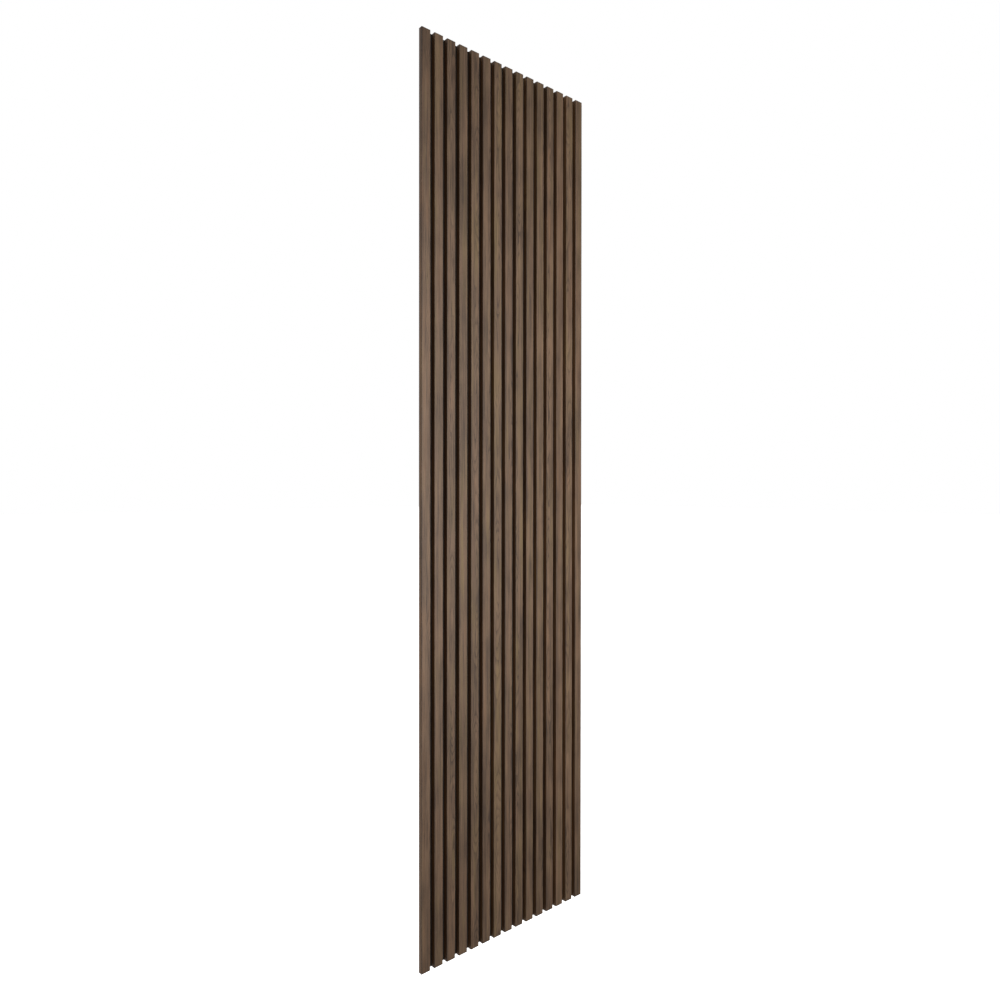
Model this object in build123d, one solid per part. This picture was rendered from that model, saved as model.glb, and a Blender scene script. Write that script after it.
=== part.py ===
from build123d import *
import os

# A slatted acoustic wall panel. Upright slats stand side by side on one sheet of felt, held by glue and by wire
# staples that are driven through the felt from behind. Millimetres, +Z up, the slats' fronts face -Y, and the
# origin is the centre of the felt's rear face, which lies on the wall.

# The whole panel
panel_height = 2400.0
slat_count = 15
slat_pitch = 40.0  # from one slat to the next, and from panel to panel

# Slats
slat_width = 27.0
slat_depth = 12.0
slat_edge_radius = 1.0  # the two long front edges, which the veneer wraps round

# Felt
felt_thickness = 9.0
felt_inset = 6.5  # the felt starts this far behind the outer edge of the first slat

# Staples
staple_rows = 8
staple_end_margin = 60.0  # from each end of a slat to its first staple
staple_crown = 12.8  # over both legs
staple_leg = 16.0  # from the back of the crown to the points
staple_wire_width = 0.95
staple_wire_thickness = 0.65
staple_bend = 0.55  # chamfer outside each bend
staple_point = 1.2  # how far the chisel cut runs up a leg
staple_sink = 0.5  # the crown lies this far below the felt's rear face
staple_clearance = 0.05  # round the wire in the felt and in the slat
staple_tip_clearance = 0.3  # beyond the points

panel_width = slat_count * slat_pitch
felt_left = -panel_width / 2 + felt_inset
felt_right = panel_width / 2  # a tongue as wide as a gap stands out past the last slat
crown_seat = staple_sink + staple_wire_thickness  # depth of the felt that the crown presses on
leg_offset = (staple_crown - staple_wire_thickness) / 2
hole_thickness = staple_wire_thickness + 2 * staple_clearance
hole_width = staple_wire_width + 2 * staple_clearance


def slat_centres():
    """The X of each slat's middle, from left to right."""
    first = (slat_width - panel_width) / 2
    return [first + i * slat_pitch for i in range(slat_count)]


def staple_heights():
    """The Z of each row of staples."""
    lowest = staple_end_margin - panel_height / 2
    step = (panel_height - 2 * staple_end_margin) / (staple_rows - 1)
    return [lowest + k * step for k in range(staple_rows)]


def block(width, y_back, y_front, height):
    """A box centred on X and Z, from y_back forwards to y_front."""
    return Pos(0, (y_back + y_front) / 2, 0) * Box(width, y_back - y_front, height)


def leg_holes(y_back, y_front):
    """A pair of slots that the two legs of one staple pass through."""
    slot = block(hole_thickness, y_back, y_front, hole_width)
    return [Pos(side * leg_offset, 0, 0) * slot for side in (-1, 1)]


def make_staple():
    """One wire staple, its crown at the back and its legs pointing to the front."""
    half = staple_crown / 2
    inner = half - staple_wire_thickness
    tip = -staple_sink - staple_leg
    right = Polyline(
        (0, -staple_sink),
        (half - staple_bend, -staple_sink),
        (half, -staple_sink - staple_bend),
        (half, tip),
        (inner, tip + staple_point),
        (inner, -crown_seat),
        (0, -crown_seat),
    )
    outline = make_face(right + mirror(right, about=Plane.YZ))
    return extrude(outline, staple_wire_width / 2, both=True)


def make_slat(x):
    """A bar with eased front edges and square ends, pocketed behind for its staples' legs."""
    section = Pos(x, -felt_thickness - slat_depth / 2) * Rectangle(slat_width, slat_depth)
    section = fillet(section.vertices().group_by(Axis.Y)[0], slat_edge_radius)
    bar = extrude(Pos(0, 0, -panel_height / 2) * section, panel_height)
    pockets = leg_holes(-felt_thickness, -staple_sink - staple_leg - staple_tip_clearance)
    return bar - [Pos(x, 0, z) * pocket for z in staple_heights() for pocket in pockets]


def make_felt():
    """The backing sheet, with a recess for each crown and a slot for each leg."""
    middle = (felt_left + felt_right) / 2
    sheet = Pos(middle, 0, 0) * block(felt_right - felt_left, 0, -felt_thickness, panel_height)
    crown_recess = block(staple_crown + 2 * staple_clearance, 0, -crown_seat, hole_width)
    seat = [crown_recess] + leg_holes(-crown_seat, -felt_thickness)
    return sheet - [Pos(x, 0, z) * cut for x in slat_centres() for z in staple_heights() for cut in seat]


def make_staples():
    """Every staple of the panel, as separate solids in one group."""
    staple = make_staple()
    return Compound([Pos(x, 0, z) * staple for x in slat_centres() for z in staple_heights()])


def main():
    os.makedirs("parts", exist_ok=True)
    for number, x in enumerate(slat_centres(), 1):
        export_step(make_slat(x), f"parts/slat_{number:02d}.step")
    export_step(make_felt(), "parts/felt_backing.step")
    export_step(make_staples(), "parts/rear_staples.step")


main()
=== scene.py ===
import math

import bmesh
import bpy
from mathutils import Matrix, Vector


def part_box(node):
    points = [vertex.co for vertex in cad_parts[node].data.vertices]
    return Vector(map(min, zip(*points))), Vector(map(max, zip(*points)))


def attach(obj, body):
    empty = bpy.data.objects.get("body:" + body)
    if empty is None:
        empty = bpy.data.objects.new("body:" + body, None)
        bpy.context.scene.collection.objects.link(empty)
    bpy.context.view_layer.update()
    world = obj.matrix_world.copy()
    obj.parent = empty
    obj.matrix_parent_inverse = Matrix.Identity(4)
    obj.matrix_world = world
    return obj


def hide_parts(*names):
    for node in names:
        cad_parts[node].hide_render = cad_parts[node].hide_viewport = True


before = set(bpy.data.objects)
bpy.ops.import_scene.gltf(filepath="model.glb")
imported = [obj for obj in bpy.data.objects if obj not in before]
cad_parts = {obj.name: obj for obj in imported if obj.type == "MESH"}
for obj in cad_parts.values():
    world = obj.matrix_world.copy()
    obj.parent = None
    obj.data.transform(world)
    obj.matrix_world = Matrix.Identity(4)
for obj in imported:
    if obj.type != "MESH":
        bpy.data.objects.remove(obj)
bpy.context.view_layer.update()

# A slatted acoustic wall panel: dark veneered slats on black felt, stapled from behind. Metres throughout.

# Slats
EDGE_RADIUS = 0.001  # of the two long front edges
VENEER_THICKNESS = 0.0006
SAW_EDGE = 0.0002  # edge break on the square-cut ends

# Staples
STAPLE_ROWS = 8
STAPLE_END_MARGIN = 0.060
STAPLE_CROWN = 0.0128
STAPLE_SINK = 0.0005  # from the felt's rear face to the crown
WIRE_WIDTH = 0.00095
WIRE_THICKNESS = 0.00065
WIRE_BEND = 0.0006  # radius inside the bends
WIRE_EDGE = 0.00014  # the wire's own eased edges

# Felt
FELT_EDGE_RADIUS = 0.0009
GROOVE_SWELL = 0.0004  # the felt stands proud between the slats
GROOVE_CREST = 0.0035  # half the width that stands fully proud
POCKET_HALF_WIDTH = 0.0065  # of the pocket that a staple's crown lies in
POCKET_HEIGHT = 0.00105
POCKET_TAPER = 0.00006  # the pocket's floor is this much smaller all round
DIMPLE_DEPTH = 0.0007  # how far the staple draws the felt in round its crown
DIMPLE_REACH = 0.0085  # from the pocket to where the felt lies flat again
DIMPLE_CUTS_ACROSS = (POCKET_HALF_WIDTH, 0.0085, 0.0110)  # from the staple's middle
DIMPLE_CUTS_UP = (POCKET_HEIGHT / 2, 0.0018, 0.0036, 0.0058, 0.0085)
FELT_CUT_STEP = 0.045  # about this far from cut to cut between the rows of staples
LUMP_SIZE = 0.02
LUMP_DEPTH = 0.0004
LUMP_LEVEL = 0.9  # nearly all of the lumps go inwards

# What the frame gives, and what follows from it
slat_low, slat_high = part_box("slat_01")
felt_low, felt_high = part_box("felt_backing")
staple_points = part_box("rear_staples")[0][1]
slat_count = sum(name.startswith("slat_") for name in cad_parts)
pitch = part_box("slat_02")[0][0] - slat_low[0]
slat_width = slat_high[0] - slat_low[0]
slat_depth = slat_high[1] - slat_low[1]
height = slat_high[2] - slat_low[2]
first_centre = (slat_low[0] + slat_high[0]) / 2
first_row = slat_low[2] + STAPLE_END_MARGIN
row_step = (height - 2 * STAPLE_END_MARGIN) / (STAPLE_ROWS - 1)
crown_seat = STAPLE_SINK + WIRE_THICKNESS

# The veneer's way round a slat, measured along the sheet from the middle of the front
bend_half = EDGE_RADIUS * math.pi / 4
bend_middle = slat_width / 2 - EDGE_RADIUS + bend_half
wrap_half = bend_middle + bend_half + slat_depth - EDGE_RADIUS

# A slat's texture square, in shares of its side: a column for each quarter of the length
STRIPS = 4
STRIP_FOOT, STRIP_HEIGHT = 0.066, 0.928
VENEER_MIDDLE, VENEER_HALF = 0.111, 0.106
BACK_LEFT, BACK_WIDTH = 0.2255, 0.020
END_LEFT, END_WIDTH = 0.020, 0.11
END_FOOT, END_HEIGHT = 0.006, 0.045

# The felt's texture square: front and back side by side, two narrow strips beside them and two below
FACE_FOOT, FACE_HEIGHT = 0.034, 0.96
FRONT_LEFT, BEHIND_LEFT, FACE_WIDTH = 0.006, 0.484, 0.468
SIDE_LEFT, SIDE_STEP, SIDE_WIDTH = 0.962, 0.018, 0.012
RIM_LEFT, RIM_WIDTH = 0.01, 0.94
RIM_FOOT, RIM_STEP, RIM_HEIGHT = 0.006, 0.014, 0.010
FELT_RIM = 0.002  # wider than the felt's rounded edges
FELT_FRONT_SKIN = 0.003  # deeper than the swell and the lumps of the front

CELL_MARGIN = 0.03  # round a staple in its cell of the staples' texture square

# The photograph's view: from the left and a little above half height
CAMERA_PLACE = (-1.3944, -1.5943, 0.0394)
CAMERA_TURN = -40.503  # degrees from facing the wall squarely, to the right
CAMERA_DROP = 0.301  # degrees below level
CAMERA_ROLL = 0.043  # degrees
FOCAL_PIXELS = 754.40
CAMERA_SHIFT = (0.0033, -0.0096)  # shares of the frame, as the photograph is framed
FRAME_PIXELS = 1000
SENSOR_WIDTH = 36.0  # millimetres

# Studio
FLOOR_HEIGHT = -2.0  # the panel hangs on a wall, well above the floor
FLOOR_SIZE = 120.0
FRONT_LIGHT = 0.30
BACK_LIGHT = 0.95
LIGHT_TURNS = (-0.35, 0.45)  # the room brightens between these, where -1 is its front and 1 its back
SOFTBOX_PLACE = (0.1, -1.6, 0.12)
SOFTBOX_SIZE = (0.9, 1.9)
SOFTBOX_WATTS = 37.0

# Tones of the veneer
OLIVE_BROWN = (0.154, 0.099, 0.038, 1.0)
GREY_BROWN = (0.159, 0.093, 0.052, 1.0)
RED_BROWN = (0.163, 0.085, 0.040, 1.0)
DARK_GRAIN = (0.037, 0.019, 0.009, 1.0)
PALE_FLECK = (0.240, 0.172, 0.101, 1.0)
SIDE_SHADE_TINT = (1.20, 0.97, 0.62, 1.0)  # multiplies them on the sides: a painted shade tint, warmer and more saturated, as the sides look in the grooves

# The log that the veneer was cut from
RINGS_PER_METRE = 360.0
HEART_ASIDE = 0.034  # the log's heart lies up to this far to either side of a slat's middle
HEART_WANDER = 0.02
HEART_DEPTHS = (0.006, 0.024)  # below the veneer
DEPTH_WANDER = 0.03
RING_RIPPLE = 0.0028

# How far the veneer is darkened, from 0 for its ground to 1 for the darkest grain; along the front edges this
# is painted shade
GROUND_DARKNESS = 0.35
RING_DARKNESS = 0.41
PORE_DARKNESS = 0.35
# painted shade along the two front edges
EDGE_SHADE_DARKNESS = 0.45
TIP_DARKNESS = 0.35
TIP_LENGTH = 0.0035

# Tones of the fibreboard, the felt and the wire
BOARD_DARK = (0.165, 0.112, 0.070, 1.0)
BOARD_PALE = (0.330, 0.235, 0.150, 1.0)
FELT_DARK = (0.010, 0.0068, 0.0046, 1.0)
FELT_PALE = (0.033, 0.0245, 0.018, 1.0)
FELT_MOTTLE = (0.011, 0.008, 0.006, 1.0)
LINT = (0.12, 0.115, 0.11, 1.0)
ZINC_DARK = (0.42, 0.42, 0.41, 1.0)
ZINC_PALE = (0.66, 0.66, 0.64, 1.0)


def look_from(place, target):
    """The rotation that turns a camera or lamp at place towards target."""
    return (Vector(target) - Vector(place)).to_track_quat("-Z", "Y").to_euler()


def set_camera():
    """The camera that took the photograph."""
    turn = (math.radians(90 - CAMERA_DROP), math.radians(-CAMERA_ROLL), math.radians(CAMERA_TURN))
    bpy.ops.object.camera_add(location=CAMERA_PLACE, rotation=turn)
    camera = bpy.context.object
    camera.data.sensor_width = SENSOR_WIDTH
    camera.data.lens = FOCAL_PIXELS * SENSOR_WIDTH / FRAME_PIXELS
    camera.data.shift_x, camera.data.shift_y = CAMERA_SHIFT
    bpy.context.scene.camera = camera


def node(tree, kind, inputs=None, **settings):
    """A new shader node. Each input is a number, a colour or the output of another node."""
    made = tree.nodes.new("ShaderNode" + kind)
    for name, value in settings.items():
        setattr(made, name, value)
    for name, value in (inputs or {}).items():
        if isinstance(value, bpy.types.NodeSocket):
            tree.links.new(value, made.inputs[name])
        else:
            made.inputs[name].default_value = value
    return made


def maths(tree, operation, first, second=0.0, third=0.0):
    """The result of one sum on numbers or outputs."""
    made = node(tree, "Math", {0: first, 1: second, 2: third}, operation=operation)
    return made.outputs[0]


def spread(tree, value, low, high, out_low=0.0, out_high=1.0, smooth=False):
    """value moved from the range low..high to out_low..out_high, and held there."""
    inputs = {"Value": value, "From Min": low, "From Max": high, "To Min": out_low, "To Max": out_high}
    kind = "SMOOTHSTEP" if smooth else "LINEAR"
    return node(tree, "MapRange", inputs, interpolation_type=kind).outputs["Result"]


def between(tree, share, low, high):
    """A share from 0 to 1 as a number from low to high."""
    return spread(tree, share, 0, 1, low, high)


def swing(tree, noise, low, high):
    """Noise, which keeps mostly to 0.3..0.7, as a number from low to high."""
    return spread(tree, noise, 0.3, 0.7, low, high)


def point(tree, x=0.0, y=0.0, z=0.0):
    """Three numbers or outputs as one vector."""
    return node(tree, "CombineXYZ", {"X": x, "Y": y, "Z": z}).outputs["Vector"]


def cloud(tree, at, detail=2.0, distortion=0.0):
    """Noise from about 0.2 to 0.8 at a point that is already scaled."""
    inputs = {"Vector": at, "Scale": 1.0, "Detail": detail, "Roughness": 0.5, "Distortion": distortion}
    return node(tree, "TexNoise", inputs, noise_dimensions="3D").outputs["Fac"]


def specks(tree, solid, per_metre, detail=2.0):
    """Noise with about so many specks to the metre along X, Y and Z."""
    scaled = node(tree, "Mapping", {"Vector": solid, "Scale": per_metre})
    return cloud(tree, scaled.outputs["Vector"], detail)


def mix_colours(tree, share, first, second, blend="MIX"):
    """Two colours, or outputs, mixed by share."""
    made = node(tree, "Mix", data_type="RGBA", blend_type=blend)
    for index, value in ((0, share), (6, first), (7, second)):
        if isinstance(value, bpy.types.NodeSocket):
            tree.links.new(value, made.inputs[index])
        else:
            made.inputs[index].default_value = value
    return made.outputs[2]


def new_material(name):
    """An empty material with a Principled shader, its tree and that shader."""
    material = bpy.data.materials.new(name)
    material.use_nodes = True
    tree = material.node_tree
    return material, tree, tree.nodes["Principled BSDF"]


def set_room():
    """An even white room, brighter behind the panel, that the camera sees pure white all round."""
    world = bpy.data.worlds.new("white_room")
    world.use_nodes = True
    bpy.context.scene.world = world
    tree = world.node_tree
    towards = node(tree, "SeparateXYZ", {"Vector": node(tree, "TexCoord").outputs["Generated"]})
    light = spread(tree, towards.outputs["Y"], *LIGHT_TURNS, FRONT_LIGHT, BACK_LIGHT, smooth=True)
    seen = node(tree, "LightPath").outputs["Is Camera Ray"]
    strength = maths(tree, "MAXIMUM", light, seen)
    tree.links.new(strength, tree.nodes["Background"].inputs["Strength"])
    tree.nodes["Background"].inputs["Color"].default_value = (1.0, 1.0, 1.0, 1.0)


def set_floor():
    """A plain pale floor that throws no light of its own on the panel."""
    bpy.ops.mesh.primitive_plane_add(size=FLOOR_SIZE, location=(0, 0, FLOOR_HEIGHT))
    floor = bpy.context.object
    floor.name = "floor"
    floor.visible_diffuse = False
    floor.visible_glossy = False
    material, tree, shader = new_material("pale_floor")
    shader.inputs["Base Color"].default_value = (0.9, 0.9, 0.9, 1.0)
    shader.inputs["Emission Color"].default_value = (1.0, 1.0, 1.0, 1.0)
    shader.inputs["Emission Strength"].default_value = 1.0
    floor.data.materials.append(material)


def set_softbox():
    """One tall softbox in front of the panel."""
    turn = look_from(SOFTBOX_PLACE, (0, 0, SOFTBOX_PLACE[2]))
    bpy.ops.object.light_add(type="AREA", location=SOFTBOX_PLACE, rotation=turn)
    softbox = bpy.context.object.data
    softbox.shape = "RECTANGLE"
    softbox.size, softbox.size_y = SOFTBOX_SIZE
    softbox.energy = SOFTBOX_WATTS


def growth_rings(tree, across, strands, side_luck, depth_luck):
    """Dark lines where the veneer knife met the late wood of the log's rings."""
    heart = between(tree, side_luck, -HEART_ASIDE, HEART_ASIDE)
    wander = between(tree, strands(9, 0.5, 3.0), -HEART_WANDER, HEART_WANDER)
    heart = maths(tree, "ADD", heart, wander)
    depth = between(tree, depth_luck, *HEART_DEPTHS)
    wander = between(tree, strands(9, 0.42, 5.0), -DEPTH_WANDER, DEPTH_WANDER)
    depth = maths(tree, "ADD", depth, wander)
    off_heart = maths(tree, "SUBTRACT", across, heart)
    squares = maths(tree, "MULTIPLY_ADD", depth, depth, maths(tree, "MULTIPLY", off_heart, off_heart))
    ripple = between(tree, strands(0.011, 0.09, 7.0, 3.0), -RING_RIPPLE, RING_RIPPLE)
    radius = maths(tree, "ADD", maths(tree, "SQRT", squares), ripple)
    rings = maths(tree, "FRACT", maths(tree, "MULTIPLY", radius, RINGS_PER_METRE))
    fading = spread(tree, rings, 0.0, 0.55, 1.0, 0.0)
    return maths(tree, "MULTIPLY", fading, spread(tree, rings, 0.93, 1.0, 1.0, 0.0))


def veneer_material():
    """Smoked oak veneer. The figure follows the sheet as it wraps round a slat, and each slat has its own."""
    material, tree, shader = new_material("smoked_veneer")
    sheet = node(tree, "UVMap", uv_map="veneer").outputs["UV"]
    place = node(tree, "SeparateXYZ", {"Vector": sheet})
    across, along = place.outputs["X"], place.outputs["Y"]

    # A number for each slat, and random values from it
    solid = node(tree, "TexCoord").outputs["Object"]
    x = node(tree, "SeparateXYZ", {"Vector": solid}).outputs["X"]
    number = maths(tree, "FLOOR", maths(tree, "MULTIPLY_ADD", x, 1 / pitch, 0.5 - first_centre / pitch))
    luck = node(tree, "TexWhiteNoise", {"W": maths(tree, "ADD", number, 3.0)}, noise_dimensions="1D")
    chances = node(tree, "SeparateColor", {"Color": luck.outputs["Color"]})
    luck_a, luck_b, luck_c = (chances.outputs[i] for i in range(3))
    seed = maths(tree, "MULTIPLY", number, 7.31)

    def strands(width, length, shift, detail=2.0, distortion=0.0):
        """Noise drawn out along the grain, about 0.3 to 0.7. Another shift gives another pattern."""
        at_x = maths(tree, "MULTIPLY", across, 1 / width)
        at_y = maths(tree, "MULTIPLY", along, 1 / length)
        at_z = maths(tree, "ADD", seed, shift)
        return cloud(tree, point(tree, at_x, at_y, at_z), detail, distortion)

    # Rings, fibres, pores, streaks, broad bands and pale flecks
    ring_line = growth_rings(tree, across, strands, luck_a, luck_b)
    fibres = strands(0.0006, 0.035, 11.0)
    pores = spread(tree, strands(0.00035, 0.006, 23.0, 1.0), 0.58, 0.68)
    pores = maths(tree, "MULTIPLY", pores, spread(tree, ring_line, 0.0, 0.8, 0.25, 1.0))
    fine_streaks = strands(0.0022, 0.16, 31.0)
    bands = strands(0.0085, 0.42, 37.0, 2.0, 0.3)
    patches = strands(0.05, 0.13, 47.0, 3.0)
    flecks = spread(tree, strands(0.0022, 0.007, 59.0, 1.0), 0.72, 0.78)
    flecks = maths(tree, "MULTIPLY", flecks, spread(tree, strands(0.03, 0.14, 67.0), 0.50, 0.60))

    # The hue drifts from olive over grey to red
    hue = maths(tree, "ADD", swing(tree, bands, -0.5, 0.5), between(tree, luck_c, -0.2, 0.2))
    hue = maths(tree, "ADD", hue, swing(tree, patches, -0.3, 0.3))
    ground = mix_colours(tree, spread(tree, hue, -0.8, 0.1), OLIVE_BROWN, GREY_BROWN)
    ground = mix_colours(tree, spread(tree, hue, 0.1, 0.8), ground, RED_BROWN)

    # Each layer makes the ground lighter or darker by up to so much
    darkness = maths(tree, "MULTIPLY_ADD", ring_line, RING_DARKNESS, GROUND_DARKNESS)
    for shade, much in (
        (fibres, 0.14),
        (fine_streaks, 0.26),
        (strands(0.009, 0.30, 71.0), 0.24),
        (strands(0.03, 0.10, 80.7), 0.18),
        (strands(0.08, 0.50, 89.8), 0.15),
    ):
        darkness = maths(tree, "ADD", darkness, swing(tree, shade, -much, much))
    darkness = maths(tree, "ADD", darkness, between(tree, luck_b, 0.08, -0.08))
    darkness = maths(tree, "MULTIPLY_ADD", pores, PORE_DARKNESS, darkness)

    # Painted shade darkens the veneer where the sheet bends round the two front edges, and the veneer is
    # darker at the slat's tips
    off_bend = maths(tree, "SUBTRACT", maths(tree, "ABSOLUTE", across), bend_middle)
    from_bend = maths(tree, "ABSOLUTE", off_bend)
    # Mask of the painted shade along the front edges
    bend = spread(tree, from_bend, bend_half - 0.0002, bend_half + 0.0004, 1.0, 0.0)
    darkness = maths(tree, "MULTIPLY_ADD", bend, EDGE_SHADE_DARKNESS, darkness)
    from_middle = maths(tree, "ABSOLUTE", along)
    tip = spread(tree, from_middle, height / 2 - TIP_LENGTH, height / 2, 0.0, TIP_DARKNESS)
    darkness = maths(tree, "ADD", darkness, tip)

    colour = mix_colours(tree, darkness, ground, DARK_GRAIN)
    colour = mix_colours(tree, maths(tree, "MULTIPLY", flecks, 0.5), colour, PALE_FLECK)
    # Painted shade tint on the sides: warmer and more saturated than the front
    on_a_side = spread(tree, off_bend, bend_half, bend_half + 0.0010)
    colour = mix_colours(tree, on_a_side, colour, SIDE_SHADE_TINT, "MULTIPLY")
    tree.links.new(colour, shader.inputs["Base Color"])

    shader.inputs["Specular IOR Level"].default_value = 0.5
    rough = maths(tree, "ADD", swing(tree, fibres, 0.58, 0.66), maths(tree, "MULTIPLY", pores, 0.2))
    tree.links.new(rough, shader.inputs["Roughness"])
    relief = maths(tree, "MULTIPLY", fibres, 0.45)
    relief = maths(tree, "MULTIPLY_ADD", ring_line, -0.30, relief)
    relief = maths(tree, "MULTIPLY_ADD", pores, -0.8, relief)
    bump = node(tree, "Bump", {"Strength": 0.7, "Distance": 0.00007, "Height": relief})
    tree.links.new(bump.outputs["Normal"], shader.inputs["Normal"])
    return material


def board_material():
    """The fibreboard core, seen on the sawn ends and the back of a slat."""
    material, tree, shader = new_material("fibreboard")
    solid = node(tree, "TexCoord").outputs["Object"]
    grit = specks(tree, solid, (2600, 2600, 2600), 3.0)
    blur = specks(tree, solid, (420, 420, 420))
    depth = spread(tree, maths(tree, "ADD", grit, blur), 0.7, 1.3)
    tree.links.new(mix_colours(tree, depth, BOARD_DARK, BOARD_PALE), shader.inputs["Base Color"])
    tree.links.new(swing(tree, grit, 0.78, 0.92), shader.inputs["Roughness"])
    bump = node(tree, "Bump", {"Strength": 0.5, "Distance": 0.0001, "Height": grit})
    tree.links.new(bump.outputs["Normal"], shader.inputs["Normal"])
    return material


def felt_material():
    """Black pressed felt: short fibres in every direction, with a few paler ones."""
    material, tree, shader = new_material("black_felt")
    solid = node(tree, "TexCoord").outputs["Object"]

    def fibres(turn, width, length):
        """Noise drawn out one way, which is Z before the turn."""
        turned = {"Vector": solid, "Rotation": turn, "Scale": (width, width, length)}
        mapped = node(tree, "Mapping", turned, vector_type="TEXTURE")
        return cloud(tree, mapped.outputs["Vector"], 2.0, 0.8)

    one_way = fibres((0.2, 0.5, 0.0), 0.0004, 0.0030)
    other_way = fibres((-0.2, -0.7, 0.3), 0.0004, 0.0034)
    third_way = fibres((0.3, 1.6, 0.1), 0.0005, 0.0030)
    tangle = maths(tree, "MAXIMUM", maths(tree, "MAXIMUM", one_way, other_way), third_way)
    mottle = specks(tree, solid, (90, 90, 90), 3.0)
    colour = mix_colours(tree, spread(tree, tangle, 0.45, 0.75), FELT_DARK, FELT_PALE)
    colour = mix_colours(tree, swing(tree, mottle, 0.0, 0.35), colour, FELT_MOTTLE)
    # The carded fibre lies thicker in some places, which leaves the sheet a little cloudy
    web = specks(tree, solid, (14, 14, 14), 4.0)
    colour = mix_colours(tree, 1.0, colour, swing(tree, web, 0.68, 1.38), "MULTIPLY")
    lint = spread(tree, fibres((0.1, 1.1, 0.2), 0.0003, 0.0045), 0.74, 0.80, 0.0, 0.5)
    colour = mix_colours(tree, lint, colour, LINT)
    tree.links.new(colour, shader.inputs["Base Color"])
    tree.links.new(spread(tree, tangle, 0.4, 0.8, 0.98, 0.86), shader.inputs["Roughness"])
    shader.inputs["Specular IOR Level"].default_value = 0.2
    shader.inputs["Sheen Weight"].default_value = 0.05
    bump = node(tree, "Bump", {"Strength": 0.9, "Distance": 0.0004, "Height": tangle})
    tree.links.new(bump.outputs["Normal"], shader.inputs["Normal"])
    return material


def wire_material():
    """Galvanised staple wire with a faint drawn grain and zinc bloom."""
    material, tree, shader = new_material("zinc_wire")
    solid = node(tree, "TexCoord").outputs["Object"]
    drawn = specks(tree, solid, (300, 300, 6000))
    bloom = specks(tree, solid, (700, 700, 700))
    tint = maths(tree, "ADD", maths(tree, "MULTIPLY", drawn, 0.5), maths(tree, "MULTIPLY", bloom, 0.5))
    colour = mix_colours(tree, swing(tree, tint, 0.0, 1.0), ZINC_DARK, ZINC_PALE)
    tree.links.new(colour, shader.inputs["Base Color"])
    tree.links.new(swing(tree, bloom, 0.28, 0.5), shader.inputs["Roughness"])
    shader.inputs["Metallic"].default_value = 0.9
    return material


def start_block(name, low, high):
    """A box between two corners, with its place in its mesh, left in edit mode with nothing selected."""
    low, high = Vector(low), Vector(high)
    bpy.ops.object.select_all(action="DESELECT")
    bpy.ops.mesh.primitive_cube_add(size=1, location=(low + high) / 2, scale=high - low)
    piece = bpy.context.object
    piece.name = piece.data.name = name
    piece.data.uv_layers.remove(piece.data.uv_layers[0])
    bpy.ops.object.transform_apply(location=True, rotation=True, scale=True)
    bpy.ops.object.mode_set(mode="EDIT")
    bpy.ops.mesh.select_all(action="DESELECT")
    return piece


def pick(piece, kind, wanted):
    """Selects the piece's edges or faces for which wanted(middle, part) is true, and nothing else."""
    bpy.ops.mesh.select_mode(type=kind)
    bpy.ops.mesh.select_all(action="DESELECT")
    cage = bmesh.from_edit_mesh(piece.data)
    for part in cage.edges if kind == "EDGE" else cage.faces:
        middle = sum((v.co for v in part.verts), Vector()) / len(part.verts)
        if wanted(middle, part):
            part.select_set(True)
    bmesh.update_edit_mesh(piece.data)


def cut(axis, places):
    """Cuts the piece in edit mode by planes square to an axis (0, 1 or 2)."""
    normal = [0, 0, 0]
    normal[axis] = 1
    for place in places:
        at = [0, 0, 0]
        at[axis] = place
        bpy.ops.mesh.select_all(action="SELECT")
        bpy.ops.mesh.bisect(plane_co=at, plane_no=normal)
    bpy.ops.mesh.select_all(action="DESELECT")


def near(a, b):
    """Whether two lengths agree to a hundredth of a millimetre."""
    return abs(a - b) < 1e-5


def apply_last_modifier(piece):
    """Turns the modifier that was added last into mesh."""
    bpy.ops.object.modifier_apply(modifier=piece.modifiers[-1].name)


def write_map(piece, name, place):
    """A texture map of the piece. place(middle, normal, co) gives a corner's two numbers."""
    layer = piece.data.uv_layers.new(name=name)
    for face in piece.data.polygons:
        for corner in face.loop_indices:
            co = piece.data.vertices[piece.data.loops[corner].vertex_index].co
            layer.data[corner].uv = place(face.center, face.normal, co)


def finish_hard_edges(piece, angle):
    """Smooth rounds beside true flats."""
    bpy.ops.object.shade_smooth_by_angle(angle=math.radians(angle))
    bpy.ops.object.modifier_add(type="WEIGHTED_NORMAL")
    piece.modifiers[-1].keep_sharp = True
    apply_last_modifier(piece)


def cross_section_distance(co):
    """How far a point of the first slat is from its front's middle, round the section. Left is below zero."""
    out = abs(co.x - first_centre)
    flat = slat_width / 2 - EDGE_RADIUS
    back = co.y - (slat_low[1] + EDGE_RADIUS)
    turn = math.atan2(max(out - flat, 0.0), max(-back, 0.0))
    return math.copysign(min(out, flat) + EDGE_RADIUS * turn + max(back, 0.0), co.x - first_centre)


def veneer_place(middle, normal, co):
    """The veneer sheet laid flat, in metres."""
    return cross_section_distance(co), co.z


def slat_texture_place(middle, normal, co):
    """The slat's quarters side by side, each with its back beside it, and the two ends below."""
    across = (co.x - slat_low[0]) / slat_width
    if abs(normal.z) > 0.3:
        column = 0 if normal.z < 0 else 1
        through = (co.y - slat_low[1]) / slat_depth
        return column / STRIPS + END_LEFT + END_WIDTH * across, END_FOOT + END_HEIGHT * through
    strip = min(int((middle.z - slat_low[2]) / height * STRIPS), STRIPS - 1)
    up = (co.z - slat_low[2]) / height * STRIPS - strip
    if normal.y > 0.9:
        from_left = BACK_LEFT + BACK_WIDTH * across
    else:
        from_left = VENEER_MIDDLE + VENEER_HALF * cross_section_distance(co) / wrap_half
    return strip / STRIPS + from_left, STRIP_FOOT + STRIP_HEIGHT * up


def runs_up(edge):
    """Whether an edge runs up the slat."""
    ends = [v.co.z for v in edge.verts]
    return max(ends) - min(ends) > height / 2


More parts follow.
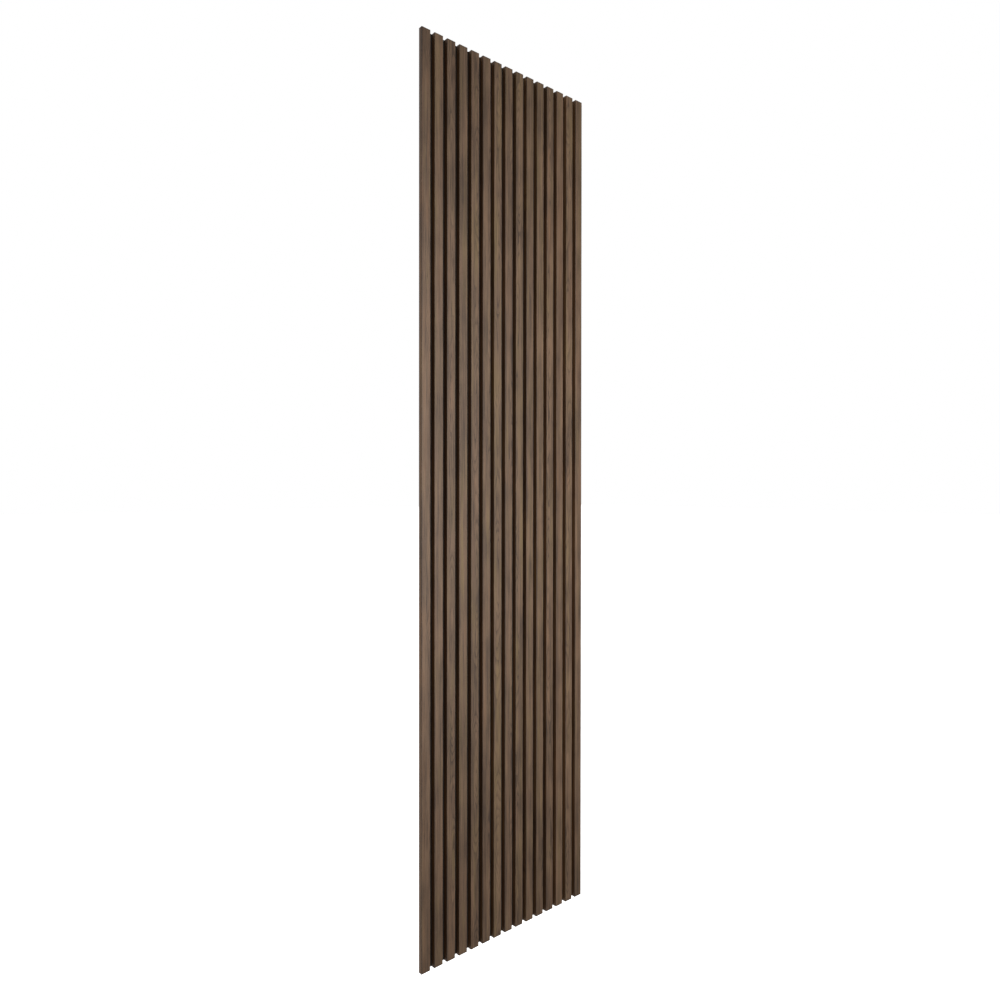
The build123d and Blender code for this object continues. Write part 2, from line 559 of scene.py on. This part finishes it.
def at_an_end(place):
    """Whether a place lies in the plane of either sawn end."""
    return near(place.z, slat_low[2]) or near(place.z, slat_high[2])


def model_slat():
    """The first slat: eased front edges, sawn ends with the edge of the veneer round the core."""
    piece = start_block("veneered_slat_01", slat_low, slat_high)
    pick(piece, "EDGE", lambda middle, edge: near(middle.y, slat_low[1]) and runs_up(edge))
    bpy.ops.mesh.bevel(offset=EDGE_RADIUS, segments=5, affect="EDGES")
    pick(piece, "EDGE", lambda middle, edge: at_an_end(middle))
    bpy.ops.mesh.bevel(offset=SAW_EDGE, segments=1, affect="EDGES")
    pick(piece, "FACE", lambda middle, face: at_an_end(middle))
    bpy.ops.mesh.inset(thickness=VENEER_THICKNESS - SAW_EDGE, use_even_offset=True)
    cut(2, [slat_low[2] + height * i / STRIPS for i in range(1, STRIPS)])
    bpy.ops.object.mode_set(mode="OBJECT")
    piece.data.materials.append(veneer)
    piece.data.materials.append(board)
    for face in piece.data.polygons:
        core = at_an_end(face.center) and face.area > slat_width * slat_depth / 2
        face.material_index = 1 if core or face.normal.y > 0.9 else 0
    write_map(piece, "veneer", veneer_place)
    write_map(piece, "OFBake", slat_texture_place)
    finish_hard_edges(piece, 30)
    return piece


def copy_of(piece, name, shift):
    """The piece again, with a mesh of its own, moved by shift."""
    bpy.ops.object.select_all(action="DESELECT")
    piece.select_set(True)
    bpy.context.view_layer.objects.active = piece
    bpy.ops.object.duplicate(linked=False)
    copy = bpy.context.object
    copy.name = copy.data.name = name
    bpy.ops.transform.translate(value=shift)
    bpy.ops.object.transform_apply(location=True, rotation=False, scale=False)
    return copy


def rows():
    """The Z of each row of staples."""
    return [first_row + row_step * i for i in range(STAPLE_ROWS)]


def columns():
    """The X of each slat's middle."""
    return [first_centre + pitch * i for i in range(slat_count)]


def mirrored(centre, offsets):
    """The places at each offset to both sides of a centre."""
    return [centre + side * offset for offset in offsets for side in (-1, 1)]


def cut_felt():
    """Cuts the felt so that grooves and dimples have faces to shape, and no face is long."""
    for centre in columns():
        cut(0, mirrored(centre, DIMPLE_CUTS_ACROSS + (slat_width / 2,)))
        groove = mirrored(centre + pitch / 2, (0.0, GROOVE_CREST))
        cut(0, [x for x in groove if x < felt_high[0] - FELT_EDGE_RADIUS])
    for row in rows():
        cut(2, mirrored(row, DIMPLE_CUTS_UP))
    for low, high in zip([felt_low[2]] + rows(), rows() + [felt_high[2]]):
        steps = max(round((high - low) / FELT_CUT_STEP), 1)
        cut(2, [low + (high - low) * i / steps for i in range(1, steps)])


def on_a_pocket(middle, face):
    """Whether a face of the felt's back is one that a staple's crown sinks into."""
    aside = min(abs(middle.x - x) for x in columns())
    away = min(abs(middle.z - z) for z in rows())
    return near(middle.y, felt_high[1]) and aside < POCKET_HALF_WIDTH and away < POCKET_HEIGHT / 2


def on_a_crest(middle, face):
    """Whether a face of the felt's front is in the middle of a groove."""
    aside = min(abs(middle.x - x) for x in columns())
    return near(middle.y, felt_low[1]) and aside > pitch / 2 - GROOVE_CREST


def felt_texture_place(middle, normal, co):
    """Front and back side by side, and the four edges in the strips that are left."""
    across = (co.x - felt_low[0]) / (felt_high[0] - felt_low[0])
    through = (co.y - felt_low[1]) / (felt_high[1] - felt_low[1])
    up = FACE_FOOT + FACE_HEIGHT * (co.z - felt_low[2]) / height
    inside = felt_low[0] + FELT_RIM < middle.x < felt_high[0] - FELT_RIM
    inside = inside and abs(middle.z) < felt_high[2] - FELT_RIM
    # The walls of the staples' pockets go with the back, whichever way they face
    behind = inside and middle.y > felt_low[1] + FELT_FRONT_SKIN
    if abs(normal.x) > 0.75 and not behind:
        return SIDE_LEFT + SIDE_STEP * (normal.x > 0) + SIDE_WIDTH * through, up
    if abs(normal.z) > 0.75 and not behind:
        return RIM_LEFT + RIM_WIDTH * across, RIM_FOOT + RIM_STEP * (normal.z > 0) + RIM_HEIGHT * through
    left = BEHIND_LEFT if behind or normal.y > 0 else FRONT_LEFT
    return left + FACE_WIDTH * across, up


def model_felt():
    """The felt: soft edges, swelling a little between the slats, drawn in round every staple behind."""
    piece = start_block("felt_sheet", felt_low, felt_high)
    bpy.ops.mesh.select_all(action="SELECT")
    bpy.ops.mesh.bevel(offset=FELT_EDGE_RADIUS, segments=2, affect="EDGES")
    cut_felt()

    pick(piece, "FACE", on_a_pocket)
    bpy.ops.transform.translate(
        value=(0, -DIMPLE_DEPTH, 0),
        use_proportional_edit=True,
        proportional_edit_falloff="SMOOTH",
        proportional_size=DIMPLE_REACH,
        use_proportional_connected=True,
    )
    sink = DIMPLE_DEPTH - crown_seat
    bpy.ops.mesh.inset(thickness=POCKET_TAPER, depth=sink, use_individual=True, use_even_offset=True)
    pick(piece, "FACE", on_a_crest)
    bpy.ops.transform.translate(value=(0, -GROOVE_SWELL, 0))
    bpy.ops.object.mode_set(mode="OBJECT")

    lumps = bpy.data.textures.new("felt_lumps", "CLOUDS")
    lumps.noise_scale = LUMP_SIZE
    bpy.ops.object.modifier_add(type="DISPLACE")
    uneven = piece.modifiers[-1]
    uneven.texture = lumps
    uneven.strength = LUMP_DEPTH
    uneven.mid_level = LUMP_LEVEL
    apply_last_modifier(piece)

    piece.data.materials.append(felt)
    write_map(piece, "OFBake", felt_texture_place)
    bpy.ops.object.shade_smooth_by_angle(angle=math.radians(50))
    return piece


def bend_leg(piece, side):
    """Bends the wire forwards at one end of the crown, -1 for left, and draws out the leg."""
    bend = WIRE_BEND + WIRE_THICKNESS
    end = first_centre + side * (STAPLE_CROWN / 2 - bend)
    leg_start = felt_high[1] - STAPLE_SINK - bend
    pick(piece, "FACE", lambda middle, face: near(middle.x, end))
    centre = (end, leg_start, first_row)
    bpy.ops.mesh.spin(steps=3, angle=math.radians(90), center=centre, axis=(0, 0, side))
    pick(piece, "FACE", lambda middle, face: near(middle.y, leg_start) and side * (middle.x - end) > 0)
    reach = (0, staple_points - leg_start, 0)
    bpy.ops.mesh.extrude_region_move(TRANSFORM_OT_translate={"value": reach})


def repeat_piece(piece, count, step, cell):
    """A row of copies of the piece, each a step on, and a cell on in the texture square."""
    bpy.ops.object.modifier_add(type="ARRAY")
    row = piece.modifiers[-1]
    row.count = count
    row.use_relative_offset = False
    row.use_constant_offset = True
    row.constant_offset_displace = step
    row.offset_u, row.offset_v = cell
    apply_last_modifier(piece)


def model_staples():
    """One bent wire staple, repeated across the slats and then up them."""
    crown_out = felt_high[1] - STAPLE_SINK
    half = STAPLE_CROWN / 2 - WIRE_BEND - WIRE_THICKNESS
    low = (first_centre - half, crown_out - WIRE_THICKNESS, first_row - WIRE_WIDTH / 2)
    high = (first_centre + half, crown_out, first_row + WIRE_WIDTH / 2)
    piece = start_block("wire_staples", low, high)
    for side in (-1, 1):
        bend_leg(piece, side)
    bpy.ops.mesh.select_mode(type="EDGE")
    bpy.ops.mesh.select_all(action="DESELECT")
    bpy.ops.mesh.edges_select_sharp(sharpness=math.radians(60))
    bpy.ops.mesh.bevel(offset=WIRE_EDGE, segments=1, affect="EDGES")
    bpy.ops.mesh.select_all(action="SELECT")
    bpy.ops.mesh.normals_make_consistent(inside=False)
    bpy.ops.uv.smart_project(angle_limit=math.radians(66), island_margin=0.04)
    bpy.ops.object.mode_set(mode="OBJECT")
    piece.data.materials.append(wire)

    # The first staple's texture fills one cell of the square, and each of the others has its own
    layer = piece.data.uv_layers[0]
    layer.name = "OFBake"
    size = 1 - 2 * CELL_MARGIN
    for corner in layer.data:
        u = CELL_MARGIN + corner.uv.x * size
        v = CELL_MARGIN + corner.uv.y * size
        corner.uv = u / slat_count, v / STAPLE_ROWS
    repeat_piece(piece, slat_count, (pitch, 0, 0), (1 / slat_count, 0))
    repeat_piece(piece, STAPLE_ROWS, (0, 0, row_step), (0, 1 / STAPLE_ROWS))
    finish_hard_edges(piece, 50)
    return piece


bpy.context.scene.view_settings.view_transform = "Standard"
set_camera()
set_room()
set_floor()
set_softbox()

veneer = veneer_material()
board = board_material()
felt = felt_material()
wire = wire_material()

first_slat = model_slat()
slats = [first_slat]
for number in range(2, slat_count + 1):
    slats.append(copy_of(first_slat, f"veneered_slat_{number:02d}", (pitch * (number - 1), 0, 0)))
for number, slat in enumerate(slats, 1):
    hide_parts(f"slat_{number:02d}")
    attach(slat, "root")

felt_sheet = model_felt()
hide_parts("felt_backing")
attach(felt_sheet, "root")

staples = model_staples()
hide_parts("rear_staples")
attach(staples, "root")
